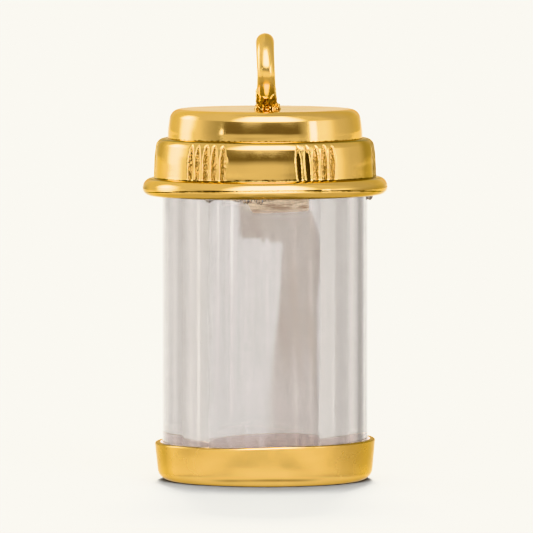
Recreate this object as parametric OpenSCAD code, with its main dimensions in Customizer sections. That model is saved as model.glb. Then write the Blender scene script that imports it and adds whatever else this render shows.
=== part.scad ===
// Pill bottle pendant: a thick-walled clear bottle in a gold foot cup, under a stepped gold cap
// with six panels of grip grooves, a beaded rim and a round wire bail soldered on top.
// Millimetres. The foot stands on z = 0, the bottle's axis is Z and the front faces -Y.

/* [Bottle] */
// Outside diameter of the clear bottle
bottle_d = 10.1; // [9.8:0.1:10.2]
// Length of the clear bottle, most of it in view
bottle_length = 16; // [13:0.5:20]
// Bore of the clear bottle
bore_d = 5.5; // [5:0.1:6.5]
// Chamfer round the bottle's lower edge
bottle_chamfer = 0.3; // [0.1:0.05:0.4]
// Radial gap between the bottle and the gold
side_gap = 0.04; // [0.03:0.01:0.06]
// End gap between the bottle and the gold
seat_gap = 0.02; // [0.01:0.01:0.05]

/* [Foot cup] */
// Diameter of the cup at its rim
cup_d = 10.82; // [10.76:0.02:11]
// Mean height of the cup
cup_height = 1.94; // [1.6:0.02:2.4]
// Thickness of the cup's floor
cup_floor = 0.35; // [0.3:0.05:0.5]
// Inward lean of the cup's side, in degrees
cup_taper = 5.5; // [4:0.5:6]
// Radius of the rounded lower edge
cup_round = 0.6; // [0.5:0.05:0.7]
// Tilt of the hand-filed rim, higher on the right, in degrees
rim_tilt = 1; // [0:0.25:1.5]

/* [Cap] */
// Diameter over the grooved band
band_d = 10.84; // [10.8:0.02:10.9]
// Height from the band's top down to the bead's underside
skirt_height = 2.76; // [2.5:0.02:3.2]
// Radius of the band's rounded upper edge
band_round = 0.4; // [0.25:0.01:0.45]
// Diameter over the bead round the cap's lower edge
bead_d = 12; // [11.9:0.05:12.2]
// Thickness of the bead
bead_wire = 0.94; // [0.9:0.01:1]
// Diameter of the crown on top
crown_d = 9.48; // [9:0.02:9.8]
// Height of the crown above the band
crown_height = 1.42; // [1.2:0.02:1.8]
// Radius of the crown's rounded upper edge
crown_round = 0.5; // [0.3:0.01:0.55]
// Thickness of the cap's top and shoulder
cap_sheet = 0.38; // [0.3:0.02:0.45]

/* [Grip grooves] */
// Panels of grooves round the band
panels = 6; // [4:1:8]
// Grooves in each panel
grooves = 5; // [3:1:6]
// Angle from groove to groove, in degrees
groove_pitch = 5; // [4.5:0.25:5.5]
// Depth of a groove
groove_depth = 0.13; // [0.08:0.01:0.2]
// Width of a groove at the surface
groove_width = 0.36; // [0.25:0.01:0.4]
// Turn of the panels from the front, in degrees
panel_turn = 27.5; // [0:0.5:60]

/* [Inner sleeve] */
// Outside diameter of the sleeve that reaches into the bore
sleeve_d = 4.3; // [3.6:0.1:4.8]
// Wall of the sleeve
sleeve_wall = 0.35; // [0.3:0.05:0.5]
// Length of sleeve that shows below the bead
sleeve_drop = 0.8; // [0.4:0.1:1.5]

/* [Bail] */
// Outside diameter of the wire ring
bail_d = 3.78; // [3.4:0.02:4.4]
// Thickness of the wire
bail_wire = 0.9; // [0.7:0.02:1]
// Depth that the ring sits in the crown
bail_sink = 0.07; // [0.05:0.01:0.1]
// Height of the solder round the ring's foot
solder_height = 0.72; // [0.5:0.02:0.8]
// Width of the solder on the crown
solder_d = 1.3; // [1.2:0.05:1.5]

/* [Hidden] */

// Cutters reach this far past what they cut
over = 1;

// Heights, counted up from the table
bottle_bottom = cup_floor + seat_gap;
bottle_top = bottle_bottom + bottle_length;
shoulder_under = bottle_top + seat_gap;
band_top = shoulder_under + cap_sheet;
skirt_bottom = band_top - skirt_height;
bead_mid = skirt_bottom + bead_wire / 2;
crown_top = band_top + crown_height;
bail_mid = crown_top - bail_sink + bail_d / 2;

// Radii
bottle_r = bottle_d / 2;
pocket_r = bottle_r + side_gap;
band_r = band_d / 2;
crown_r = crown_d / 2;
cup_r = cup_d / 2;
bead_r = (bead_d - bead_wire) / 2;
bail_r = (bail_d - bail_wire) / 2;
sleeve_r = sleeve_d / 2;

// The grooves start on top of the bead and run out through the band's rounded edge. Their cutters
// stand a little proud of the band
groove_bottom = skirt_bottom + bead_wire;
groove_run = band_top - groove_bottom + over;
groove_clear = 0.05;

// The solder's upper end is a little wider than the wire it holds
solder_neck = bail_wire / 2 + 0.03;

round_fn = 96;
wire_fn = 48;

// A disc's half section from the axis out to radius r, with its upper outer corner rounded
module half_disc(r, low, high, corner) {
  translate([0, low]) square([r, high - low - corner]);
  translate([0, low]) square([r - corner, high - low]);
  translate([r - corner, high - corner]) circle(corner, $fn = wire_fn);
}

// The cap's outline from the axis: crown, band and bead
module cap_outline() {
  half_disc(crown_r, band_top - band_round, crown_top, crown_round);
  half_disc(band_r, skirt_bottom + bead_wire / 4, band_top, band_round);
  translate([bead_r, bead_mid]) circle(bead_wire / 2, $fn = wire_fn);
}

// What the cap's outline loses: the seat of the bottle, and the hollow of the crown
module cap_hollow() {
  translate([-over, skirt_bottom - over]) square([pocket_r + over, shoulder_under - skirt_bottom + over]);
  translate([-over, shoulder_under - over])
    square([crown_r - cap_sheet + over, crown_top - cap_sheet - shoulder_under + over]);
}

// One V-shaped groove, cut down the band at its front
module groove() {
  half_mouth = groove_width / 2 * (1 + groove_clear / groove_depth);
  translate([band_r, 0, groove_bottom])
    linear_extrude(groove_run)
      polygon([[-groove_depth, 0], [groove_clear, -half_mouth], [groove_clear, half_mouth]]);
}

// All the panels of grooves, the first one turned from the front towards +X
module grip_grooves() {
  for (panel = [0 : panels - 1])
    for (i = [0 : grooves - 1])
      rotate(-90 + panel_turn + panel * 360 / panels + (i - (grooves - 1) / 2) * groove_pitch)
        groove();
}

// Short tube soldered under the crown, which centres the cap in the bottle's bore
module inner_sleeve() {
  sleeve_bottom = skirt_bottom - sleeve_drop;
  translate([0, 0, sleeve_bottom])
    difference() {
      cylinder(h = crown_top - cap_sheet / 2 - sleeve_bottom, r = sleeve_r, $fn = round_fn);
      translate([0, 0, -over])
        cylinder(h = crown_top - cap_sheet - sleeve_bottom + over, r = sleeve_r - sleeve_wall, $fn = round_fn);
    }
}

// Ring of round wire that stands across the front, and the cone of solder at its foot
module bail() {
  translate([0, 0, bail_mid])
    rotate([0, 90, 0])
      rotate_extrude($fn = round_fn)
        translate([bail_r, 0]) circle(bail_wire / 2, $fn = wire_fn);
  translate([0, 0, crown_top - cap_sheet / 2])
    cylinder(h = solder_height + cap_sheet / 2, r1 = solder_d / 2, r2 = solder_neck, $fn = wire_fn);
}

module cap() {
  color("gold") {
    difference() {
      rotate_extrude($fn = round_fn)
        difference() {
          cap_outline();
          cap_hollow();
        }
      grip_grooves();
    }
    inner_sleeve();
    bail();
  }
}

module clear_bottle() {
  color([0.86, 0.86, 0.87, 0.4])
    difference() {
      union() {
        translate([0, 0, bottle_bottom])
          cylinder(h = bottle_chamfer, r1 = bottle_r - bottle_chamfer, r2 = bottle_r, $fn = round_fn);
        translate([0, 0, bottle_bottom + bottle_chamfer])
          cylinder(h = bottle_length - bottle_chamfer, r = bottle_r, $fn = round_fn);
      }
      translate([0, 0, bottle_bottom - over])
        cylinder(h = bottle_length + 2 * over, r = bore_d / 2, $fn = round_fn);
    }
}

// The cup's outer half section: a leaning side that meets the rounded lower edge at a tangent
module cup_outline() {
  top = cup_height + over;
  round_x = cup_r - (cup_height - cup_round) * tan(cup_taper) - cup_round / cos(cup_taper);
  side_x = round_x + cup_round * cos(cup_taper);
  side_z = cup_round * (1 - sin(cup_taper));
  translate([round_x, cup_round]) circle(cup_round, $fn = wire_fn);
  polygon([[0, 0], [round_x, 0], [side_x, side_z], [side_x + (top - side_z) * tan(cup_taper), top], [0, top]]);
}

module foot_cup() {
  color("gold")
    difference() {
      rotate_extrude($fn = round_fn)
        difference() {
          intersection() {
            cup_outline();
            square([cup_r, 2 * cup_height]);
          }
          polygon([
            [-over, cup_floor], [pocket_r - bottle_chamfer, cup_floor],
            [pocket_r, cup_floor + bottle_chamfer], [pocket_r, 3 * cup_height], [-over, 3 * cup_height]
          ]);
        }
      translate([0, 0, cup_height])
        rotate([0, -rim_tilt, 0])
          translate([-cup_d, -cup_d, 0]) cube([2 * cup_d, 2 * cup_d, 2 * cup_height]);
    }
}

cap();
clear_bottle();
foot_cup();
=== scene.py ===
import bpy
import numpy as np
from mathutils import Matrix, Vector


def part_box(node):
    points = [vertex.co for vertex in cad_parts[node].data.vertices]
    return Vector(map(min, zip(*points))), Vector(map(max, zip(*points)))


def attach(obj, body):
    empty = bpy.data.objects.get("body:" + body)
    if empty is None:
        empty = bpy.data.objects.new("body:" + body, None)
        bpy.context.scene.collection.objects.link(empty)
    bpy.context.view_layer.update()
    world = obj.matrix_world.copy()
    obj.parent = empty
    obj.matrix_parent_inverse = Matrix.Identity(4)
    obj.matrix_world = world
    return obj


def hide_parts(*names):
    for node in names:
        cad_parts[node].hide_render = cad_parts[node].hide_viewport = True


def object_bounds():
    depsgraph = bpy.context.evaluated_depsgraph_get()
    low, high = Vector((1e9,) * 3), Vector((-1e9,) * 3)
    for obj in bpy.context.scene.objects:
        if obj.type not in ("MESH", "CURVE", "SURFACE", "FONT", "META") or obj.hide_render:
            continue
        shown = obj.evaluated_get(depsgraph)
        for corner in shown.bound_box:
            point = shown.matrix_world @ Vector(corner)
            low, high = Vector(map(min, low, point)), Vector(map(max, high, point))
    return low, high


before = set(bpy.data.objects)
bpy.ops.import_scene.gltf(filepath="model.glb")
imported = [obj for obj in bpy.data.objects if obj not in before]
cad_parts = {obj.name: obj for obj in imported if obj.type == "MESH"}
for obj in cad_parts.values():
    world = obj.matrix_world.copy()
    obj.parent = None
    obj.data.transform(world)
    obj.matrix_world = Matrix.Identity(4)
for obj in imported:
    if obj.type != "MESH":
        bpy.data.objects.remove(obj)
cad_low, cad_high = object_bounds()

# Clear bottle
# A length of clear acrylic rod, turned to size, bored through and polished. Both ends are cemented
# into the gold, and the bore is darker brown in a patch on the right.
mm = 0.001
bottle_low, bottle_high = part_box("clear_bottle")
bottle_r = (bottle_high.x - bottle_low.x) / 2
bore_r = 2.75 * mm
bottle_chamfer = 0.3 * mm
end_edge = 0.05 * mm
bottle_columns = 446


def rounded_path(corners, spacing):
    """Profile through corners (r, z, radius): straight lines, each corner cut by a circular arc that
    touches both lines. Arc points stand where centre + radius (cos, sin) of evenly spaced angles falls.
    A corner of radius 0 stays as it is."""
    corners = np.array(corners, float)
    parts = [corners[:1, :2]]
    for before, corner, after in zip(corners[:-2], corners[1:-1], corners[2:]):
        if corner[2] == 0:
            parts.append(corner[None, :2])
            continue
        to_before = (before[:2] - corner[:2]) / np.linalg.norm(before[:2] - corner[:2])
        to_after = (after[:2] - corner[:2]) / np.linalg.norm(after[:2] - corner[:2])
        half = np.arccos(np.clip(to_before @ to_after, -1, 1)) / 2
        bisector = (to_before + to_after) / np.linalg.norm(to_before + to_after)
        centre = corner[:2] + bisector * corner[2] / np.sin(half)
        start = corner[:2] + to_before * corner[2] / np.tan(half) - centre
        turn = np.pi - 2 * half
        side = np.sign(start[0] * to_before[1] - start[1] * to_before[0])
        steps = int(max(4, np.ceil(corner[2] * turn / spacing), np.ceil(turn / 0.16)))
        angle = np.linspace(0, turn, steps + 1) * -side
        parts.append(centre + np.column_stack((
            start[0] * np.cos(angle) - start[1] * np.sin(angle),
            start[0] * np.sin(angle) + start[1] * np.cos(angle))))
    parts.append(corners[-1:, :2])
    filled = [parts[0]]
    for part in parts[1:]:
        gap = part[0] - filled[-1][-1]
        count = int(np.ceil(np.linalg.norm(gap) / spacing))
        filled.append(filled[-1][-1] + gap * (np.arange(1, count) / max(count, 1))[:, None])
        filled.append(part)
    return np.concatenate(filled)


def turned(profile, angles):
    """Grid of a profile turned round Z: row i, column j is (r_i cos a_j, r_i sin a_j, z_i)."""
    r, z = profile[:, :1], profile[:, 1:]
    return np.stack((r * np.cos(angles), r * np.sin(angles), z + 0 * angles), axis=-1)


def ripple(angle, height, seed, waves, length, count=7):
    """Smooth unevenness about 0, mostly between -1 and 1: the mean, times 2, of sine waves that run
    whole numbers of times round and shift along the height within a few lengths."""
    draw = np.random.default_rng(seed)
    total = 0
    for _ in range(count):
        turns = draw.integers(waves[0], waves[1] + 1)
        pitch = draw.uniform(-1, 1) * 2 * np.pi / length
        total = total + np.sin(turns * angle + pitch * height + draw.uniform(0, 2 * np.pi))
    return 2 * total / count


def skin(name, grid, poles=False, **marks):
    """Closed mesh over a grid of points (rows, columns, 3) whose columns wrap round. The last row joins
    the first again, or with poles both shrink to one point. marks are point attributes of grid shape."""
    rows, columns = grid.shape[:2]
    index = np.arange(rows * columns).reshape(rows, columns)
    keep = np.ones(rows * columns, bool)
    if poles:
        grid[0], grid[-1] = grid[0].mean(0), grid[-1].mean(0)
        index[0], index[-1] = index[0, 0], index[-1, 0]
        keep[1:columns] = keep[-columns + 1:] = False
    else:
        index = np.vstack((index, index[:1]))
    index = (np.cumsum(keep) - 1)[index]
    right = np.roll(index, -1, axis=1)
    quads = np.stack((index[:-1], right[:-1], right[1:], index[1:]), axis=-1).reshape(-1, 4)
    points = grid.reshape(-1, 3)[keep]
    a, b, c, d = (points[quads[:, k]] for k in range(4))
    volume = np.einsum("ij,ij->", a, np.cross(b, c)) + np.einsum("ij,ij->", a, np.cross(c, d))
    if volume < 0:
        quads = quads[:, ::-1]
    flat = (quads == np.roll(quads, 1, axis=1)).any(axis=1)
    thirds = quads[flat]
    single = thirds != np.roll(thirds, 1, axis=1)
    faces = quads[~flat].tolist() + thirds[single].reshape(-1, 3).tolist()
    mesh = bpy.data.meshes.new(name)
    mesh.from_pydata(points.tolist(), [], faces)
    for mark, values in marks.items():
        layer = mesh.attributes.new(mark, "FLOAT", "POINT")
        spread = np.broadcast_to(values, (rows, columns)).ravel()[keep]
        layer.data.foreach_set("value", spread.astype(np.float32))
    mesh.polygons.foreach_set("use_smooth", np.ones(len(mesh.polygons), bool))
    mesh.update()
    piece = bpy.data.objects.new(name, mesh)
    bpy.context.scene.collection.objects.link(piece)
    return piece


def smooth(low, high, value):
    """0 below low, 1 above high, and 3 t^2 - 2 t^3 between; the other way round where low is greater."""
    t = np.clip((value - low) / (high - low), 0, 1)
    return t * t * (3 - 2 * t)


def window(value, rise_from, rise_to, fall_from, fall_to):
    """1 where value lies between rise_to and fall_from, and smoothly down to 0 at the other two."""
    return smooth(rise_from, rise_to, value) * smooth(fall_to, fall_from, value)


def even_angles(columns):
    """Angles round Z from the front (-Y) towards +X and on round."""
    return np.arange(columns) * 2 * np.pi / columns - np.pi / 2


def from_front(angles):
    """Degrees from the front (-Y), positive towards +X, from -180 to 180."""
    return (np.degrees(angles) + 90 + 180) % 360 - 180


bottle_profile = rounded_path([
    (bore_r + 1 * mm, bottle_low.z, 0),
    (bottle_r - bottle_chamfer, bottle_low.z, 2 * end_edge),
    (bottle_r, bottle_low.z + bottle_chamfer, 2 * end_edge),
    (bottle_r, bottle_high.z, 2 * end_edge),
    (bore_r, bottle_high.z, 2 * end_edge),
    (bore_r, bottle_low.z, 2 * end_edge),
    (bore_r + 0.99 * mm, bottle_low.z, 0)], 0.2 * mm)
bottle_angles = even_angles(bottle_columns)
bottle_grid = turned(bottle_profile, bottle_angles)
height = bottle_profile[:, 1:] / mm
degrees = from_front(bottle_angles)

# The turned outside is true to a few thousandths of a millimetre and the bore to a hundredth. Both are
# uneven round the bottle and nearly straight along it
on_bore = smooth(bore_r + 0.1 * mm, bore_r + 0.02 * mm, bottle_profile[:, :1])
on_wall = smooth(bottle_r - 0.1 * mm, bottle_r - 0.02 * mm, bottle_profile[:, :1])
uneven = 0.004 * mm * ripple(bottle_angles, height, 11, (3, 24), 60)
bore_uneven = 0.012 * mm * ripple(bottle_angles, height, 12, (2, 12), 14)
swell = 1 + (uneven * on_wall + bore_uneven * on_bore - 0.003 * mm * on_wall) / bottle_r
bottle_grid[:, :, :2] *= swell[:, :, None]

# Darker brown patch in the bore, from under the cap down: (height in mm, left edge, right edge), the
# edges in degrees from the front
film_shape = np.array((
    (0, 2, 49), (2, 3, 50), (4.2, 4, 50), (6, 7, 49), (9, 12.5, 49), (10, 13.5, 51), (11.1, 14.5, 53.5),
    (11.75, 15.6, 53), (11.87, 12, 52.5), (11.95, -5, 52), (12.03, -18, 51.7), (12.12, -22, 51.5),
    (13.1, -22.5, 44.5), (13.5, -23, 40), (16.4, -23, 38)))
ragged_height = height + 0.05 * ripple(bottle_angles, height, 14, (20, 70), 2)
film_left = np.interp(ragged_height, film_shape[:, 0], film_shape[:, 1])
film_right = np.interp(height, film_shape[:, 0], film_shape[:, 2])
film_soft = 2.5 + 5 * smooth(8, 3, height)
film = smooth(-1, 1, (degrees - film_left) / film_soft) * smooth(1.4, -1.4, degrees - film_right) * on_bore
film = film * (0.92 + 0.08 * ripple(bottle_angles, height, 13, (5, 30), 5))
film = film * (1 - 0.3 * smooth(8, 4, height))

# Painted highlight lines along the outside, two of which fade in upwards: (degrees from the front, width
# in degrees, strength)
draw_lines = (
    (-26.8, 0.6, 0.6 * smooth(6, 13, height)), (-18.4, 0.7, 0.9 * smooth(8, 13.5, height)),
    (-39.9, 0.8, 1.0), (-71, 1.2, 0.5), (57, 3, 0.9), (-60, 3, 0.6), (-46, 4, 0.25), (74, 1.2, 0.3),
    (97, 1.0, 0.6), (128, 0.8, 0.9), (151, 1.2, 0.7), (-112, 0.8, 0.8), (-147, 1.0, 0.6))
polish_line = sum(strength * np.exp(-((degrees - at) / wide) ** 2) * on_wall
                  for at, wide, strength in draw_lines)
# Broad grey bands of painted shade along the outside, in the same columns. The one at the left is
# darkest near the cap
stain_lines = (
    (47.5, 5, 0.34), (68, 5, 1.0), (-71, 4, 0.15 + 0.5 * smooth(12.2, 13.8, height)), (-135, 5, 0.15))
stain = sum(strength * np.exp(-((degrees - at) / wide) ** 4) * on_wall
            for at, wide, strength in stain_lines)

# Cement that was squeezed up between the cup and the bottle, thinning out upwards to a ragged edge. There
# is less of it at the back and at the right of the front
squeezed_top = 1.98 + 0.05 * ripple(bottle_angles, 0, 15, (3, 12), 1)
squeezed_top = squeezed_top + 0.03 * ripple(bottle_angles, 0, 16, (30, 80), 1)
squeezed = smooth(squeezed_top + 0.04, squeezed_top - 0.45, height) * on_wall * (height > 0.5)
squeezed = squeezed * (1 - 0.6 * smooth(70, 110, np.abs(degrees)))
squeezed = squeezed * (1 - 0.85 * window(degrees, 28, 38, 60, 70))

# Cement between the sleeve and the bore, thick at the right
smeared = smooth(13.38, 13.44, height + 0.03 * ripple(bottle_angles, 0, 17, (8, 40), 1)) * on_bore
smeared = smeared * window(degrees, -26, -12, 39, 42)

# Cement under the bottle's end, and the frost that the saw left there
cemented = smooth(bottle_low.z / mm + 0.35, bottle_low.z / mm + 0.1, height) * np.ones_like(degrees)


def node(tree, kind, inputs=None, **settings):
    """Adds a shader node; inputs maps a socket's name or number to a value or to another node's output."""
    made = tree.nodes.new(kind)
    for key, value in settings.items():
        setattr(made, key, value)
    for key, value in (inputs or {}).items():
        if isinstance(value, bpy.types.NodeSocket):
            tree.links.new(value, made.inputs[key])
        else:
            made.inputs[key].default_value = value
    return made


def calc(tree, operation, *values):
    """Output of a math node."""
    return node(tree, "ShaderNodeMath", dict(enumerate(values)), operation=operation).outputs[0]


def mix_colour(tree, amount, first, second):
    """Colour between first and second by amount."""
    return node(tree, "ShaderNodeMix", {0: amount, 6: first, 7: second}, data_type="RGBA").outputs[2]


def between(tree, value, low, high, to_low=0.0, to_high=1.0):
    """Straight map of value from low..high to to_low..to_high, held at the ends."""
    return node(tree, "ShaderNodeMapRange", {0: value, 1: low, 2: high, 3: to_low, 4: to_high}).outputs[0]


def noise(tree, where, scale, detail=2.0, roughness=0.5):
    """Noise from 0 to 1 over a vector; scale is in cells per metre of the object."""
    made = node(tree, "ShaderNodeTexNoise", {"Vector": where, "Scale": scale, "Detail": detail,
                                             "Roughness": roughness})
    return made.outputs[0]


def stretched(tree, scale):
    """Object coordinates scaled by a factor on each axis."""
    coordinates = node(tree, "ShaderNodeTexCoord")
    return node(tree, "ShaderNodeMapping", {0: coordinates.outputs["Object"], 3: scale}).outputs[0]


def mark_of(tree, name):
    """Value of one of the mesh's point marks, 0 on a mesh that lacks it."""
    return node(tree, "ShaderNodeAttribute", attribute_name=name).outputs["Fac"]


def blank_material(name):
    """A new material, its node tree and its Principled surface."""
    material = bpy.data.materials.new(name)
    material.use_nodes = True
    return material, material.node_tree, material.node_tree.nodes["Principled BSDF"]


def clear_acrylic():
    """Clear acrylic: a faint grey body with lengthwise polishing streaks, painted highlight lines and bands
    of painted shade, a darker brown patch in the bore, and brown cement.
    """
    material, tree, surface = blank_material("clear_acrylic")
    lengthwise = stretched(tree, (1, 1, 0.02))
    grain = noise(tree, lengthwise, 5200, 4, 0.7)
    cloud = noise(tree, stretched(tree, (1, 1, 0.35)), 420, 4, 0.6)
    streaked = between(tree, grain, 0.3, 0.7)
    body = mix_colour(tree, streaked, (0.52, 0.512, 0.513, 1), (0.625, 0.616, 0.616, 1))
    patches = noise(tree, stretched(tree, (1, 1, 0.6)), 900, 5, 0.7)
    body = mix_colour(tree, between(tree, patches, 0.35, 0.7, 0.0, 0.35), body, (0.40, 0.375, 0.36, 1))
    # Painted highlight lines: along them the body is lightened almost to clear
    body = mix_colour(tree, mark_of(tree, "polish_line"), body, (0.95, 0.94, 0.93, 1))
    # Painted shade: broad dark grey bands along the body
    body = mix_colour(tree, mark_of(tree, "stain"), body, (0.08, 0.07, 0.065, 1))
    body = mix_colour(tree, mark_of(tree, "bored"), body, (0.95, 0.952, 0.975, 1))
    # A darker brown, slightly hazy patch in the bore
    film_amount = calc(tree, "MULTIPLY", mark_of(tree, "film"), between(tree, cloud, 0.25, 0.6, 0.75, 1.0))
    body = mix_colour(tree, film_amount, body, (0.43, 0.33, 0.27, 1))
    body = mix_colour(tree, mark_of(tree, "cemented"), body, (0.80, 0.70, 0.62, 1))
    smears = noise(tree, stretched(tree, (1, 1, 2.5)), 1500, 4, 0.65)
    smears = between(tree, smears, 0.3, 0.7)
    brown = mix_colour(tree, smears, (0.28, 0.18, 0.13, 1), (0.51, 0.42, 0.36, 1))
    streaks = noise(tree, stretched(tree, (0.3, 0.3, 1.5)), 3600, 4, 0.6)
    streaks = between(tree, streaks, 0.38, 0.62)
    golden = mix_colour(tree, streaks, (0.22, 0.12, 0.06, 1), (1.0, 0.90, 0.72, 1))
    body = mix_colour(tree, mark_of(tree, "squeezed"), body, brown)
    body = mix_colour(tree, mark_of(tree, "smeared"), body, golden)
    tree.links.new(body, surface.inputs["Base Color"])
    haze = calc(tree, "MAXIMUM", film_amount, mark_of(tree, "cemented"))
    tree.links.new(between(tree, haze, 0, 1, 0.0, 0.08), surface.inputs["Roughness"])
    surface.inputs["Transmission Weight"].default_value = 1.0
    surface.inputs["IOR"].default_value = 1.49
    scratches = noise(tree, stretched(tree, (1, 1, 0.05)), 9000, 2)
    bump = node(tree, "ShaderNodeBump", {"Strength": 0.15, "Distance": 0.00002, "Height": scratches})
    tree.links.new(bump.outputs[0], surface.inputs["Normal"])
    absorb = node(tree, "ShaderNodeVolumeAbsorption", {"Color": (0.833, 0.823, 0.826, 1), "Density": 450.0})
    tree.links.new(absorb.outputs[0], tree.nodes["Material Output"].inputs["Volume"])
    return material


clear_bottle = skin("clear_bottle_turned", bottle_grid, film=film, polish_line=polish_line, stain=stain,
                    squeezed=squeezed, smeared=smeared, cemented=cemented, bored=on_bore)
clear_bottle.data.materials.append(clear_acrylic())
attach(clear_bottle, "root")
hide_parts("clear_bottle")

# Foot cup
# A shallow cup of yellow gold sheet, pressed round a form, buffed bright outside and cemented under
# the bottle. Its rim was filed by hand, so it runs a degree out of level.
cup_low, cup_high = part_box("foot_cup")
cup_r = (cup_high.x - cup_low.x) / 2
cup_height = 1.94 * mm
cup_floor = 0.35 * mm
cup_round = 0.6 * mm
cup_seat = bottle_r + 0.04 * mm
cup_taper = np.radians(5.5)
rim_tilt = np.tan(np.radians(1.0))
rim_edge = 0.05 * mm


def dull_cement():
    """Brown cement on the inside of the cup: opaque and grainy, with a painted glow from its emission."""
    material, tree, surface = blank_material("dull_cement")
    position = node(tree, "ShaderNodeTexCoord").outputs["Object"]
    clots = noise(tree, position, 1500, 4, 0.65)
    colour = mix_colour(tree, between(tree, clots, 0.3, 0.7), (0.38, 0.25, 0.18, 1), (0.95, 0.80, 0.70, 1))
    tree.links.new(colour, surface.inputs["Base Color"])
    tree.links.new(between(tree, clots, 0.3, 0.7, 0.45, 0.8), surface.inputs["Roughness"])
    # Painted glow: the cement shines with its own light
    surface.inputs["Emission Color"].default_value = (0.95, 0.86, 0.79, 1)
    surface.inputs["Emission Strength"].default_value = 1.2
    return material


def polished_gold(name, roughness, line_strength, tone=1.0):
    """14 karat gold: a polished face with fine turning lines and buffing clouds. Point marks from 0 to 1
    say where the metal is grainy (matte), is darkened by buffing compound in grooves and crevices and by
    painted shade and painted dark reflection lines elsewhere (wax), is painted darker as shade
    (shade), is tarnished by heat and on the band painted darker as shade (tarnish) or is tinned
    with greyer solder (pale). The metal's colour is multiplied by tone."""
    material, tree, surface = blank_material(name)
    surface.inputs["Metallic"].default_value = 1.0
    surface.inputs["Specular Tint"].default_value = (0.95, 0.78, 0.47, 1)
    position = node(tree, "ShaderNodeTexCoord").outputs["Object"]
    parts = node(tree, "ShaderNodeSeparateXYZ", {0: position}).outputs
    flat_part = node(tree, "ShaderNodeCombineXYZ", {0: parts[0], 1: parts[1]}).outputs[0]
    radius = node(tree, "ShaderNodeVectorMath", {0: flat_part}, operation="LENGTH").outputs["Value"]
    lines_at = node(tree, "ShaderNodeCombineXYZ", {
        0: calc(tree, "MULTIPLY", parts[0], 0.03),
        1: calc(tree, "MULTIPLY", parts[1], 0.03),
        2: calc(tree, "SUBTRACT", parts[2], radius)}).outputs[0]
    lines = noise(tree, lines_at, 16000, 3, 0.6)
    clouds = noise(tree, position, 900, 3)
    grain = noise(tree, position, 14000, 2, 0.7)
    matte = mark_of(tree, "matte")
    low, high = np.outer((0.975, 1.025), (0.66, 0.42, 0.128)) * tone
    colour = mix_colour(tree, between(tree, clouds, 0.3, 0.7), (*low, 1), (*high, 1))
    # Painted shade: the shade mark darkens the metal
    colour = mix_colour(tree, mark_of(tree, "shade"), colour, (0.30, 0.185, 0.052, 1))
    colour = mix_colour(tree, mark_of(tree, "pale"), colour, (0.52, 0.41, 0.20, 1))
    # Heat tarnish, and on the band painted shade, darken the metal here
    colour = mix_colour(tree, mark_of(tree, "tarnish"), colour, (0.23, 0.18, 0.07, 1))
    colour = mix_colour(tree, between(tree, matte, 0, 1, 0.0, 0.15), colour, (0.94, 0.78, 0.46, 1))
    specks = between(tree, noise(tree, position, 15000, 2, 0.6), 0.48, 0.54, 1.0, 0.0)
    colour = mix_colour(tree, calc(tree, "MULTIPLY", specks, matte), colour, (0.22, 0.12, 0.03, 1))
    # Buffing compound, and elsewhere painted shade and dark reflection lines, darken the metal here
    left_over = calc(tree, "SUBTRACT", mark_of(tree, "wax"), noise(tree, position, 12000, 3, 0.6))
    colour = mix_colour(tree, between(tree, left_over, -0.08, 0.1), colour, (0.06, 0.03, 0.008, 1))
    tree.links.new(colour, surface.inputs["Base Color"])
    shine = between(tree, clouds, 0.3, 0.75, roughness * 0.7, roughness * 1.5)
    dulled = calc(tree, "MULTIPLY_ADD", mark_of(tree, "shade"), 0.12, shine)
    rough = node(tree, "ShaderNodeMix", {0: matte, 2: dulled, 3: 0.13}).outputs[0]
    tree.links.new(rough, surface.inputs["Roughness"])
    fine = node(tree, "ShaderNodeBump", {"Strength": line_strength, "Distance": 0.00001, "Height": lines})
    coarse = node(tree, "ShaderNodeBump", {"Strength": matte, "Distance": 0.0003, "Height": grain,
                                           "Normal": fine.outputs[0]})
    tree.links.new(coarse.outputs[0], surface.inputs["Normal"])
    return material


turned_gold = polished_gold("polished_gold", 0.09, 0.02)
# The cup's copy of the gold is lighter (tone 1.3): painted light on the whole cup
cup_gold = polished_gold("brushed_gold", 0.16, 0.05, 1.3)
side_r = cup_r - cup_height * np.tan(cup_taper)
cup_profile = rounded_path([
    (0, 0, 0),
    (side_r, 0, cup_round),
    (cup_r, cup_height, rim_edge * 1.6),
    (cup_seat + 0.01 * mm, cup_height, rim_edge),
    (cup_seat, cup_floor + bottle_chamfer, 0.1 * mm),
    (cup_seat - bottle_chamfer, cup_floor, 0.1 * mm),
    (0, cup_floor, 0)], 0.055 * mm)
cup_angles = even_angles(360)
cup_grid = turned(cup_profile, cup_angles)
height = cup_profile[:, 1:] / mm
lifted = smooth(0.5, 1.9, height)
filed = 0.015 * mm * ripple(cup_angles, 0, 21, (2, 7), 1)
cup_grid[:, :, 2] += lifted * (rim_tilt * cup_grid[:, :, 0] + filed)
outside = smooth(cup_seat + 0.1 * mm, cup_seat + 0.2 * mm, cup_profile[:, :1])
pressed = 0.006 * mm * ripple(cup_angles, height, 22, (2, 6), 4) - 0.006 * mm
cup_grid[:, :, :2] *= 1 + (outside * pressed / cup_r)[:, :, None]
degrees = from_front(cup_angles)

# Painted shade, none across the front and most round the sides: (degrees from the front, shade)
cup_buffing = np.array((
    (-180, 0.3), (-110, 0.6), (-84, 0.85), (-78, 0.9), (-66, 1), (-61, 0.85), (-57, 0.68), (-51.5, 0.76),
    (-44, 0.77), (-38, 0.65), (-31, 0.55), (-21, 0.4), (-14, 0.15), (-8, 0), (11, 0), (15, 0.16),
    (20, 0.31), (24, 0.4), (29.4, 0.55), (34.3, 0.73), (39.6, 0.83), (45.4, 0.92), (51.8, 0.97),
    (59.4, 1), (76, 1), (84, 0.9), (110, 0.6), (140, 0.5), (180, 0.3)))
cup_shade = np.interp(degrees, cup_buffing[:, 0], cup_buffing[:, 1])
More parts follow.
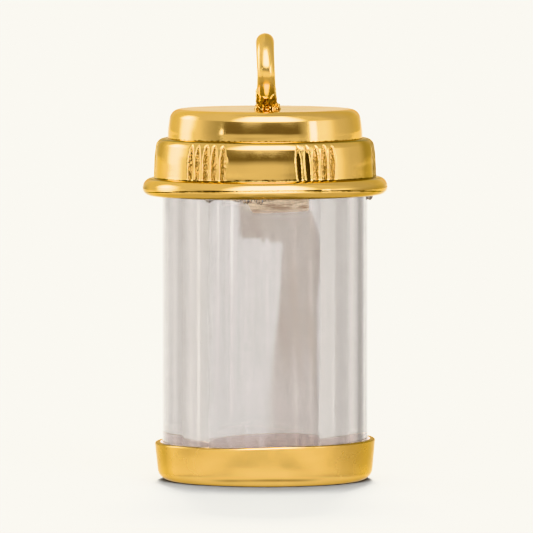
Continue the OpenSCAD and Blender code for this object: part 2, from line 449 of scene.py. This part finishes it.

# A painted dark reflection line runs low on the front, and below it the edge is painted lit by taking the
# painted shade off. Points at the sides look higher than those of the same height at the front, so the lit
# edge follows cup_level
form_line = 0.33 + 0.0009 * degrees + 0.02 * ripple(cup_angles, 0, 24, (3, 9), 1)
scored = np.exp(-((height - form_line) / 0.06) ** 2) * smooth(34, 16, np.abs(degrees))
scored = scored * (0.8 + 0.15 * ripple(cup_angles, 0, 25, (4, 14), 1))
cup_level = height + 0.31 * (1 - np.cos(np.radians(degrees)))
worn = 1 - 0.85 * smooth(0.6, 0.44, cup_level)
# Painted shade high up on the cup, beside the front
under_rim = 0.12 * smooth(1.3, 1.65, height) * outside
under_rim = under_rim * smooth(8, 22, np.abs(degrees)) * window(degrees, -56, -48, 26, 36)
cup_shade = np.clip(cup_shade * worn + scored + under_rim, 0, 1)
foot_cup = skin("foot_cup_pressed", cup_grid, poles=True, shade=cup_shade)
foot_cup.data.materials.append(cup_gold)
foot_cup.data.materials.append(dull_cement())

# Cement coats the inside of the cup and the inner edge of its rim
face_centres = np.empty(3 * len(foot_cup.data.polygons))
foot_cup.data.polygons.foreach_get("center", face_centres)
face_centres = face_centres.reshape(-1, 3)
coated = (np.hypot(face_centres[:, 0], face_centres[:, 1]) < cup_seat + 0.055 * mm) & (
    face_centres[:, 2] > cup_floor - 0.01 * mm)
foot_cup.data.polygons.foreach_set("material_index", coated.astype(np.int32))
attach(foot_cup, "root")
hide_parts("foot_cup")

# Cap band
# The lower step of the cap, one casting of yellow gold with the crown: a heavy bead round the edge
# and six panels of five grip grooves. It is buffed outside, dark buffing compound stays in its grooves,
# and its folds are darkened with painted shade.
cap_low, cap_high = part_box("cap")
bead_r = (cap_high.x - cap_low.x) / 2
bead_thick = 0.94 * mm
skirt_low = 14.01 * mm
band_r = 5.42 * mm
band_top = 16.77 * mm
crown_r = 4.74 * mm
crown_top = 18.19 * mm
cap_sheet = 0.38 * mm
groove_depth = 0.14 * mm
groove_half = 0.225 * mm
groove_pitch = 5.0
panel_turn, panel_pitch = 27.5, 60.0
panel_centres = panel_turn + panel_pitch * np.arange(6)
bead_top = skirt_low + 0.91 * bead_thick
band_foot_r = band_r + 0.035 * mm
shoulder_r = crown_r - 0.1 * mm
wall_step = 0.05 * mm


def leaning_wall(r, heights, leans, top, corner):
    """Corners of an outer wall that starts at r and leans inwards by leans (degrees from upright) at
    heights: each step goes in by the tangent of its lean. The last one is the rounded corner at top."""
    steps = np.arange(heights[0], heights[-1], wall_step)
    fall = np.tan(np.radians(np.interp(steps, heights, leans)))
    wall = [(r - inwards, z, 0) for inwards, z in zip(np.cumsum(fall) * wall_step, steps + wall_step)]
    last_r, last_z = wall[-1][0], wall[-1][1]
    return wall + [(last_r - (top - last_z) * fall[-1], top, corner)]


band_heights = np.array((14.95, 15.58, 15.85, 16.02, 16.33)) * mm
band_leans = (2.3, 2.3, 4.2, 7.5, 8.3)
band_wall = leaning_wall(band_r + 0.03 * mm, band_heights, band_leans, band_top, 0.42 * mm)
band_outside = rounded_path([
    (cup_seat, skirt_low + 0.15 * mm, 0),
    (cup_seat, skirt_low, 0.08 * mm),
    (bead_r, skirt_low, bead_thick * 0.4),
    (bead_r, bead_top, bead_thick * 0.51),
    (band_foot_r, bead_top, 0.02 * mm),
    *band_wall,
    (shoulder_r, band_top, 0)], 0.052 * mm)
band_inside = rounded_path([
    (shoulder_r, band_top - 0.05 * mm, 0),
    (shoulder_r, band_top - cap_sheet, 0.05 * mm),
    (cup_seat, band_top - cap_sheet, 0.05 * mm),
    (cup_seat, skirt_low + 0.2 * mm, 0)], 0.5 * mm)
band_profile = np.concatenate((band_outside, band_inside))

# Columns stand close together across the grooves and wide apart on the smooth panels
fine_step, wide_step = 0.27, 2.0
reach = 2 * groove_pitch + 2.6
panels = [np.arange(-reach, reach + 0.01, fine_step) + centre for centre in panel_centres]
gap_columns = np.arange(reach + wide_step / 2, panel_pitch - reach - 0.3, wide_step)
gaps = [gap_columns + centre for centre in panel_centres]
band_angles = np.radians(np.sort(np.concatenate(panels + gaps)) - 90)
degrees = from_front(band_angles)
band_grid = turned(band_profile, band_angles)
height = band_profile[:, 1:] / mm
radius = band_profile[:, :1]

# A groove is a sunk line with flared sides, cut wherever the profile stands outside it. Dark buffing
# compound lies thick in the first two grooves right of the front and in patches elsewhere
draw = np.random.default_rng(31)
groove = np.zeros(band_grid.shape[:2])
wax = np.zeros(band_grid.shape[:2])
for centre in panel_centres:
    for step in range(-2, 3):
        waxed = centre == panel_turn and step < 0
        slant = 0.7 if waxed else draw.uniform(-0.15, 0.15)
        at = centre + step * groove_pitch + draw.uniform(-0.2, 0.2) - slant * (height - 15.8)
        off = ((degrees - at + 180) % 360 - 180) / np.degrees(groove_half / band_r)
        across = np.clip(1 - np.abs(off), 0, 1) ** (1.6 if waxed else 0.9)
        groove = np.maximum(groove, groove_depth * draw.uniform(0.75, 1.05) * across)
        strip = np.clip((2.0 if waxed else 1.5) - 3.2 * np.abs(off), 0, 1) * smooth(16.5, 15.9, height)
        wax = np.maximum(wax, strip * (1.3 if waxed else draw.uniform(0.34, 0.46)))
cut_line = np.interp(band_profile[:, 1:], (bead_top, band_top), (band_r + 0.045 * mm, band_r - 0.06 * mm))
outside_rows = np.arange(len(band_profile))[:, None] < len(band_outside)
in_band = smooth(bead_top + 0.02 * mm, bead_top + 0.08 * mm, band_profile[:, 1:]) * outside_rows
in_band = in_band * (radius > shoulder_r + 0.1 * mm)
sunk = np.maximum(radius - (cut_line - groove), 0) * in_band * (groove > 0)
from_centre = (degrees - panel_turn + panel_pitch / 2) % panel_pitch - panel_pitch / 2
in_panel = smooth(reach, reach - 1.2, np.abs(from_centre)) * in_band
rough_floor = smooth(0.01 * mm, 0.05 * mm, sunk)
grains = (0.06 * in_panel + 0.94 * rough_floor) * ripple(band_angles, height, 32, (150, 420), 0.15, 18)
buffed = 0.004 * mm * ripple(band_angles, height, 33, (2, 7), 3) * outside_rows * smooth(15.0, 15.3, height)
band_grid[:, :, :2] *= (1 + (buffed - sunk + 0.016 * mm * grains) / radius)[:, :, None]

# The bead and the foot of the wall rise towards the right as far as bead_lean_end, and run level past it
bead_lean = np.tan(np.radians(0.45))
bead_lean_end = 2 * mm
lean_reach = np.clip(band_grid[:, :, 0], None, bead_lean_end)
band_grid[:, :, 2] += bead_lean * smooth(15.6, 14.9, height) * lean_reach

# Painted shade lies in ragged dark lines in the fold between wall and bead and on the wall's foot at
# the front, and thinly all over the fold and the shoulder. A painted dark reflection line runs round the
# middle of the bead. Points at the sides look higher than those of the same height at the front, so
# that line follows bead_level
bead_level = height + 0.346 * (1 - np.cos(np.radians(degrees)))
in_front = smooth(18, 16, np.abs(degrees))
on_bead = smooth(5.7, 5.8, radius / mm) * outside_rows
fold_line = smooth(0.06, 0.03, np.abs(height - 14.88)) * smooth(5.6, 5.5, radius / mm) * outside_rows
foot_line = smooth(0.05, 0.02, np.abs(height - 14.95)) * in_front * outside_rows
bead_line = smooth(0.065, 0.01, np.abs(bead_level - 14.45)) * on_bead
folds_in = (smooth(16.67, 16.7, height) + window(height, 14.79, 14.82, 14.88, 14.9)) * outside_rows
ragged = 0.1 * ripple(band_angles, 0, 37, (60, 160), 1)
wax = np.maximum(wax * rough_floor, (0.62 + ragged) * (1 - in_front) * fold_line)
wax = np.maximum(wax, (0.52 + ragged) * foot_line)
wax = np.maximum(wax, (0.85 + 0.5 * ragged) * bead_line)
wax = np.maximum(wax, (0.45 + 0.5 * ragged) * folds_in)

# Painted shade, darkest under the bead, and on the sides of the band and the bead more than on their
# front
under_bead = 0.4 + 0.5 * smooth(6, 13, np.abs(degrees)) + 0.3 * smooth(14.14, 14.08, bead_level)
under_bead = under_bead * smooth(14.34, 14.3, bead_level)
bead_side = 0.85 * smooth(12, 30, np.abs(degrees)) * smooth(14.41, 14.36, bead_level)
under_bead = np.maximum(under_bead, bead_side) * outside_rows
band_edges = 0.8 * window(degrees, 58, 67, 120, 170) + 0.6 * window(degrees, -150, -100, -72, -62)
band_edges = band_edges + 0.5 * window(degrees, 49, 57, 110, 150) * smooth(15.62, 15.42, height)
bead_edges = 0.45 * window(degrees, 42, 56, 110, 150) + window(degrees, -150, -110, -78, -68)
bead_edges = bead_edges * (0.1 + 0.9 * smooth(14.62, 14.4, height))
bead_edges = bead_edges * smooth(14.91, 14.83, height) * outside_rows
front_dull = 0.4 * window(degrees, 9, 15, 17, 22) * smooth(16.1, 15.6, height)
dull = under_bead + bead_edges + (band_edges + front_dull) * in_band + 0.5 * in_front * fold_line
# Painted shade goes in with the tarnish mark in the folds and the shoulder, and a little on the panels
cap_band = skin("cap_band", band_grid, matte=0.75 * rough_floor + 0.06 * in_panel,
                shade=np.clip(dull, 0, 1), tarnish=np.clip(folds_in + 0.1 * in_panel, 0, 1), wax=wax)
cap_band.data.materials.append(turned_gold)
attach(cap_band, "root")
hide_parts("cap")

# Cap crown
# The upper step of the same casting, plain and buffed bright, with a soft rounded upper edge. It is
# hollow, and its foot runs into the band's shoulder.
crown_heights = np.array((16.88, 17.06, 17.17, 17.4, 17.68)) * mm
crown_leans = (2.45, 2.45, 5.2, 7.2, 8.3)
crown_wall = leaning_wall(crown_r + 0.02 * mm, crown_heights, crown_leans, crown_top, 0.53 * mm)
crown_outside = rounded_path([
    (crown_r + 0.025 * mm, band_top - 0.02 * mm, 0),
    *crown_wall,
    (3.6 * mm, crown_top, 0)], 0.04 * mm)
crown_profile = np.concatenate((rounded_path([
    (0, crown_top - cap_sheet, 0),
    (crown_r - cap_sheet, crown_top - cap_sheet, 0.1 * mm),
    (crown_r - cap_sheet, band_top - 0.06 * mm, 0.02 * mm),
    (crown_r + 0.02 * mm, band_top - 0.06 * mm, 0)], 0.4 * mm), crown_outside,
    rounded_path([(3.4 * mm, crown_top, 0), (0, crown_top, 0)], 0.3 * mm)))
crown_angles = even_angles(400)
crown_grid = turned(crown_profile, crown_angles)
height = crown_profile[:, 1:] / mm
radius = crown_profile[:, :1]
outer = smooth(crown_r - 0.2 * mm, crown_r - 0.1 * mm, radius) * smooth(16.8, 17.0, height)
buffed = 0.003 * mm * ripple(crown_angles, height, 35, (2, 6), 3)
crown_grid[:, :, :2] *= (1 + buffed * outer / crown_r)[:, :, None]
near_top = smooth(18.1, 18.19, height) * smooth(1 * mm, 2 * mm, radius)
crown_grid[:, :, 2] += 0.002 * mm * near_top * ripple(crown_angles, radius / mm, 36, (1, 5), 3)

# Soldering tarnished the top round the ring, and a ragged painted shade line darkens the fold at the
# crown's foot
heated = smooth(3.4 * mm, 2.2 * mm, radius) * (height > 18)
foot_wax = 0.5 + 0.1 * ripple(crown_angles, 0, 39, (60, 160), 1)
foot_wax = foot_wax * smooth(16.84, 16.81, height) * (radius > crown_r - 0.2 * mm)
cap_crown = skin("cap_crown", crown_grid, poles=True, tarnish=0.55 * heated, wax=foot_wax)
cap_crown.data.materials.append(turned_gold)
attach(cap_crown, "root")
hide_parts("cap")

# Inner sleeve
# A short tube soldered under the crown, which centres the cap in the bottle's bore. Beige cement
# covers it and has run off its lower end unevenly, shortest on the left.
sleeve_r = 2.15 * mm
sleeve_wall = 0.35 * mm
sleeve_low = skirt_low - 0.8 * mm
sleeve_profile = rounded_path([
    (sleeve_r - sleeve_wall / 2, sleeve_low, 0),
    (sleeve_r, sleeve_low, 0.06 * mm),
    (sleeve_r, crown_top - cap_sheet / 2, 0.06 * mm),
    (sleeve_r - sleeve_wall, crown_top - cap_sheet / 2, 0.06 * mm),
    (sleeve_r - sleeve_wall, sleeve_low, 0.06 * mm),
    (sleeve_r - sleeve_wall / 2 - 0.001 * mm, sleeve_low, 0)], 0.12 * mm)
sleeve_angles = even_angles(256)
sleeve_grid = turned(sleeve_profile, sleeve_angles)
degrees = from_front(sleeve_angles)
run_off = 0.75 * window(degrees, -170, -120, -26, -13)
run_off = run_off + 0.04 + 0.02 * ripple(sleeve_angles, 0, 38, (2, 9), 1)
low_end = smooth(15.5, 13.3, sleeve_profile[:, 1:] / mm)
sleeve_grid[:, :, 2] += run_off * low_end * mm
sleeve = skin("inner_sleeve", sleeve_grid)


def smeared_cement():
    """Beige cement smeared round the sleeve: glossy in streaks, with a painted glow from its emission."""
    material, tree, surface = blank_material("smeared_cement")
    streaks = noise(tree, stretched(tree, (0.35, 0.35, 1.6)), 2600, 4, 0.6)
    glossy = between(tree, streaks, 0.35, 0.65)
    colour = mix_colour(tree, glossy, (0.75, 0.62, 0.45, 1), (0.98, 0.90, 0.75, 1))
    tree.links.new(colour, surface.inputs["Base Color"])
    tree.links.new(between(tree, streaks, 0.35, 0.65, 0.5, 0.15), surface.inputs["Roughness"])
    bump = node(tree, "ShaderNodeBump", {"Strength": 1.0, "Distance": 0.00015, "Height": streaks})
    tree.links.new(bump.outputs[0], surface.inputs["Normal"])
    # Painted glow: the cement shines with its own light
    surface.inputs["Emission Color"].default_value = (1.0, 0.84, 0.66, 1)
    surface.inputs["Emission Strength"].default_value = 0.75
    return material


sleeve.data.materials.append(smeared_cement())
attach(sleeve, "root")
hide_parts("cap")

# Bail ring
# A ring of round gold wire that stands edge on to the front, bent, closed and soldered on the crown.
# Solder climbed its foot and froze there in a crumpled crust that was left unbuffed.
bail_wire = 0.9 * mm
bail_r = (3.78 * mm - bail_wire) / 2
bail_z = cad_high.z - bail_r - bail_wire / 2
crust_from, crust_to = 215, 325
ring_degrees = np.concatenate((np.linspace(crust_to - 360, crust_from, 130, endpoint=False),
                               np.linspace(crust_from, crust_to, 230, endpoint=False)))
ring_angle = np.radians(ring_degrees)[:, None]
wire_angle = np.linspace(0, 2 * np.pi, 96, endpoint=False)[None, :]
arc = ring_angle * bail_r / mm
sine = np.sin(ring_angle)
wire_r = bail_wire / 2 * (0.975 - 0.02 * np.cos(2 * ring_angle) + 0.05 * smooth(0.0, -0.6, sine)
                          + 0.01 * ripple(ring_angle, 0, 41, (2, 6), 1))
crust = smooth(-0.615, -0.655, sine + 0.03 * ripple(wire_angle, 0, 44, (3, 11), 1))
folds = np.abs(ripple(wire_angle, arc, 42, (2, 5), 0.5))
pimples = ripple(wire_angle, arc, 43, (7, 18), 0.17)
wire_r = wire_r + crust * (0.008 + 0.04 * folds + 0.012 * pimples) * mm
out = bail_r + wire_r * np.cos(wire_angle)
ring_x = wire_r * np.sin(wire_angle) + 0.06 * mm * smooth(1.0, -0.3, sine)
bail_grid = np.stack((ring_x, out * np.cos(ring_angle), bail_z + out * sine), axis=-1)

# Below half height the outside of the ring is painted darker as shade, and lower down it is tinned
# with solder. Two painted dark reflection lines run down its front, left and right of the middle
facing_out = smooth(-0.1, 0.5, np.cos(wire_angle))
tin_line = -0.3 - 0.3 * np.sin(wire_angle) ** 4
tinned = smooth(0.04, -0.04, sine - tin_line)
dim = smooth(-0.05, -0.14, sine) * (1 - 0.7 * tinned) * facing_out
crevice = crust * smooth(0.4, 0.1, folds) * 0.65
wire_degrees = (np.degrees(wire_angle) + 180) % 360 - 180
scrapes = np.exp(-((wire_degrees + 26) / 5) ** 2) + np.exp(-((wire_degrees - 37) / 5) ** 2)
scrapes = 0.55 * scrapes * smooth(0.02, -0.08, sine)
bail = skin("bail_ring", bail_grid, shade=np.clip(dim + scrapes, 0, 1), pale=tinned * (0.9 - 0.6 * crust),
            wax=np.maximum(crevice, 0.3 * scrapes))
drawn_gold = polished_gold("drawn_gold", 0.16, 0.03)
bail.data.materials.append(drawn_gold)
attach(bail, "root")
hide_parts("cap")

# Bail solder
# The pool of gold solder that holds the ring on the crown. It spread flat, a little to the right,
# and froze in grains and beads.
solder_low = crown_top - 0.05 * mm
solder_rise = 0.42 * mm
solder_rows, solder_columns = 100, 300
rise = np.linspace(0, 1, solder_rows)[:, None]
solder_angles = even_angles(solder_columns)
spread = 0.64 - 0.16 * rise ** 1.5
closing = np.sqrt(np.clip(1 - np.maximum(2 * rise - 1, 0) ** 6, 0, 1)) * smooth(-0.05, 0.02, rise)
folds = np.abs(ripple(solder_angles, rise * 4, 51, (4, 12), 1.2))
pimples = ripple(solder_angles, rise * 4, 52, (14, 34), 0.5)
across = (spread - 0.06 + 0.10 * folds + 0.035 * pimples) * closing * mm
solder_grid = np.stack((0.14 * mm + across * np.cos(solder_angles), across * np.sin(solder_angles) * 1.5,
                        solder_low + solder_rise * rise
                        + 0.03 * mm * closing * ripple(solder_angles, rise * 4, 53, (6, 18), 1)), axis=-1)
solder = skin("bail_solder", solder_grid, poles=True, pale=0.25 * np.ones((solder_rows, 1)),
              wax=0.6 * smooth(0.4, 0.1, folds))
solder.data.materials.append(drawn_gold)
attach(solder, "root")
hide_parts("cap")

# Cement line
# Clear cement that was squeezed out under the bead when the cap was set on the bottle, and dried in
# an uneven rim of small drops.
line_angles = even_angles(1440)
line_section = np.linspace(0, 2 * np.pi, 12, endpoint=False)[:, None]
degrees = from_front(line_angles)
run = np.exp(-((degrees + 7) / 10) ** 4) + 0.7 * np.exp(-((degrees + 32) / 4) ** 4)
run = np.maximum(run, smooth(0.35, 0.9, ripple(line_angles, 0, 63, (2, 9), 1)) * (np.abs(degrees) > 70))
jags = ripple(line_angles, 0, 61, (20, 60), 1) + 0.8 * ripple(line_angles, 0, 62, (80, 200), 1)
drops = np.clip(0.012 + run * (0.06 + 0.045 * jags), 0.008, 0.15) * mm
line_r = bottle_r + 0.01 * mm + drops * (0.6 + np.cos(line_section))
line_z = skirt_low - 0.03 * mm + drops * (1.3 * np.sin(line_section) - 0.5)
line_z = line_z - 0.02 * mm * run * ripple(line_angles, 0, 64, (60, 150), 1)
line_grid = np.stack((line_r * np.cos(line_angles), line_r * np.sin(line_angles), line_z), axis=-1)
line_grid[:, :, 2] += bead_lean * np.clip(line_grid[:, :, 0], None, bead_lean_end)


def dried_cement():
    """Dried cement: clear and glossy, faintly yellow, with fine crazing."""
    material, tree, surface = blank_material("dried_cement")
    position = node(tree, "ShaderNodeTexCoord").outputs["Object"]
    crazing = noise(tree, position, 9000, 3)
    colour = mix_colour(tree, crazing, (0.80, 0.76, 0.72, 1), (0.98, 0.97, 0.95, 1))
    tree.links.new(colour, surface.inputs["Base Color"])
    surface.inputs["Transmission Weight"].default_value = 1.0
    surface.inputs["IOR"].default_value = 1.46
    tree.links.new(between(tree, crazing, 0.3, 0.7, 0.02, 0.2), surface.inputs["Roughness"])
    return material


cement_line = skin("cement_line", line_grid)
cement_line.data.materials.append(dried_cement())
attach(cement_line, "root")

# Floor, light and camera
# A matt table in an even light tent: soft light from above, lamps at the left, at the right and over the
# front, and a dark flag across the front where the camera looks in. The table has three lights of its own.
floor_size = 4.0
floor_mesh = bpy.data.meshes.new("floor")
floor_corners = np.array([(-1, -1, 0), (1, -1, 0), (1, 1, 0), (-1, 1, 0)]) * floor_size / 2
floor_mesh.from_pydata(floor_corners.tolist(), [], [(0, 1, 2, 3)])
floor = bpy.data.objects.new("floor", floor_mesh)
bpy.context.scene.collection.objects.link(floor)
table, _, table_surface = blank_material("matt_table")
table_surface.inputs["Base Color"].default_value = (0.11, 0.106, 0.096, 1)
table_surface.inputs["Roughness"].default_value = 1.0
table_surface.inputs["Specular IOR Level"].default_value = 0.0
floor_mesh.materials.append(table)

# The table's lights, from above and behind, so that the shadow on it lies in front of the foot: (name,
# strength, width and tilt in degrees). They light nothing else, and make the dark table look pale
table_lights = (("table_light", 39.8, 16, 52), ("upper_light", 7.6, 60, 25), ("high_light", 12.2, 18, 9))
table_only = bpy.data.collections.new("table_only")
table_only.objects.link(floor)
for name, strength, width, tilt in table_lights:
    table_light = bpy.data.objects.new(name, bpy.data.lights.new(name, "SUN"))
    bpy.context.scene.collection.objects.link(table_light)
    table_light.data.energy = strength
    table_light.data.angle = np.radians(width)
    table_light.rotation_euler = (-np.radians(tilt), 0, 0)
    table_light.light_linking.receiver_collection = table_only

# A faint round lamp just above the table stands for the light that a pale table throws up. It lights
# only the cup, and the camera doesn't see it
cup_only = bpy.data.collections.new("cup_only")
cup_only.objects.link(foot_cup)
glow = bpy.data.objects.new("table_glow", bpy.data.lights.new("table_glow", "AREA"))
bpy.context.scene.collection.objects.link(glow)
glow.data.shape = "DISK"
glow.data.size = 17 * mm
glow.data.energy = 0.00045
glow.location = (0, 0, 0.02 * mm)
glow.rotation_euler = (np.pi, 0, 0)
glow.visible_camera = False
glow.light_linking.receiver_collection = cup_only

# Light at the height of the object: (degrees from the front towards +X, brightness)
side_light = ((-180, 1.05), (-150, 1.1), (-132, 1.15), (-90, 1.45), (-84, 1.25), (-78, 1.03), (-72, 0.88),
              (-61, 0.68), (-52, 0.6), (-50, 1.2), (38, 1.2), (44, 0.9), (51, 0.8), (57, 1.3), (85, 1.5),
              (94, 1.15), (102, 1.0), (118, 0.95), (128, 0.88), (140, 0.95), (160, 1.05), (180, 1.05))
brightest = 2.0
# Lamps: (from, to, softness) round the object, the same upwards, all in degrees, then the brightness
lamps = (
    (-120, -101, 6, -6, 28, 7, 6.0),
    (-105, -95, 5, 7, 20, 4, 3.0),
    (-126, -109, 5, 13, 31, 6, 9.0),
    (55.8, 64.5, 1.4, -6, 14, 3, 10.0),
    (57, 84, 9, -6, 14, 4, 1.2),
    (-31, 41, 15, 18, 68, 4, 13.0),
    (-54.5, -51.8, 0.8, 3.5, 8.5, 1.5, 9.0))
lamp_tint = (1.0, 1.1, 1.3)
world = bpy.data.worlds.new("light_tent")
bpy.context.scene.world = world
world.use_nodes = True
tent = world.node_tree


def soft_step(tree, value, low, high):
    """0 below low and 1 above high, with a smooth rise; the other way round where low is greater."""
    ends = {0: value, 1: min(low, high), 2: max(low, high), 3: float(low > high), 4: float(low < high)}
    return node(tree, "ShaderNodeMapRange", ends, interpolation_type="SMOOTHSTEP").outputs[0]


def soft_box(tree, value, low, high, soft):
    """1 where value lies between low and high, fading out over the width soft on both sides of an end."""
    return calc(tree, "MULTIPLY", soft_step(tree, value, low - soft, low + soft),
                soft_step(tree, value, high + soft, high - soft))


direction = node(tent, "ShaderNodeTexCoord").outputs["Generated"]
axes = node(tent, "ShaderNodeSeparateXYZ", {0: direction}).outputs
around = calc(tent, "DEGREES", calc(tent, "ARCTAN2", axes[0], calc(tent, "MULTIPLY", axes[1], -1.0)))
above = calc(tent, "DEGREES", calc(tent, "ARCSINE", axes[2]))
ramp = node(tent, "ShaderNodeValToRGB", {0: between(tent, around, -180, 180)})
stops = ramp.color_ramp.elements
while len(stops) < len(side_light):
    stops.new(0.5)
for stop, (at, light) in zip(stops, side_light):
    stop.position = (at + 180) / 360
    stop.color = (light / brightest,) * 3 + (1,)
side = node(tent, "ShaderNodeVectorMath", {0: ramp.outputs[0], 1: (brightest,) * 3}, operation="MULTIPLY")

# A dark flag hangs across the front, sharp at its upper edge and at its left, soft below and at its right
sideways = soft_step(tent, calc(tent, "ABSOLUTE", around), 8, 30)
flag_foot = calc(tent, "MULTIPLY_ADD", sideways, 1.0, above)
flag = calc(tent, "MULTIPLY", soft_step(tent, flag_foot, 1.6, 7.5), soft_step(tent, above, 15.0, 13.6))
flag = calc(tent, "MULTIPLY", flag, soft_step(tent, around, -52, -50.4))
flag = calc(tent, "MULTIPLY", flag, soft_step(tent, around, 51, 39))
lit = mix_colour(tent, flag, side.outputs[0], (0.275, 0.25, 0.29, 1))

# Overhead the tent is even, a little dimmer at the right and at the zenith, and warm low at the back
front_top = mix_colour(tent, soft_step(tent, around, 78, 105), (1.15, 1.15, 1.14, 1), (0.88, 0.88, 0.88, 1))
zenith = mix_colour(tent, soft_step(tent, axes[0], -0.1, 0.6), (0.95, 0.95, 0.94, 1), (0.68, 0.68, 0.67, 1))
overhead = mix_colour(tent, soft_step(tent, above, 62, 84), front_top, zenith)
sky = mix_colour(tent, soft_step(tent, above, 13, 21), lit, overhead)
behind = calc(tent, "MULTIPLY", soft_step(tent, axes[1], 0.93, 0.985), soft_box(tent, above, 2.2, 14, 1.2))
sky = mix_colour(tent, behind, sky, (1.06, 0.80, 0.36, 1))
for a_from, a_to, a_soft, e_from, e_to, e_soft, light in lamps:
    lamp = calc(tent, "MULTIPLY", soft_box(tent, around, a_from, a_to, a_soft),
                soft_box(tent, above, e_from, e_to, e_soft))
    tinted = [calc(tent, "MULTIPLY", lamp, light * tint) for tint in lamp_tint]
    lamp = node(tent, "ShaderNodeCombineXYZ", dict(enumerate(tinted))).outputs[0]
    sky = node(tent, "ShaderNodeVectorMath", {0: sky, 1: lamp}, operation="ADD").outputs[0]
tent.links.new(sky, tent.nodes["Background"].inputs["Color"])

# The camera stands in front, a little above the object, as far off as the photo's ellipses show
camera_distance = 450 * mm
camera_lift = np.radians(3.3)
frame_width = 26.13 * mm
picture_centre = np.array([0.07, 0, 10.45]) * mm
camera = bpy.data.objects.new("camera", bpy.data.cameras.new("camera"))
bpy.context.scene.collection.objects.link(camera)
towards_camera = np.array([0, -np.cos(camera_lift), np.sin(camera_lift)])
camera.location = picture_centre + camera_distance * towards_camera
camera.rotation_euler = (np.pi / 2 - camera_lift, 0, 0)
camera.data.lens = camera.data.sensor_width * camera_distance / frame_width
camera.data.clip_start, camera.data.clip_end = 0.05, 20
bpy.context.scene.camera = camera
bpy.context.scene.view_settings.view_transform = "Khronos PBR Neutral"
bpy.context.scene.cycles.transmission_bounces = 24
bpy.context.scene.cycles.max_bounces = 24
bpy.context.scene.cycles.glossy_bounces = 8
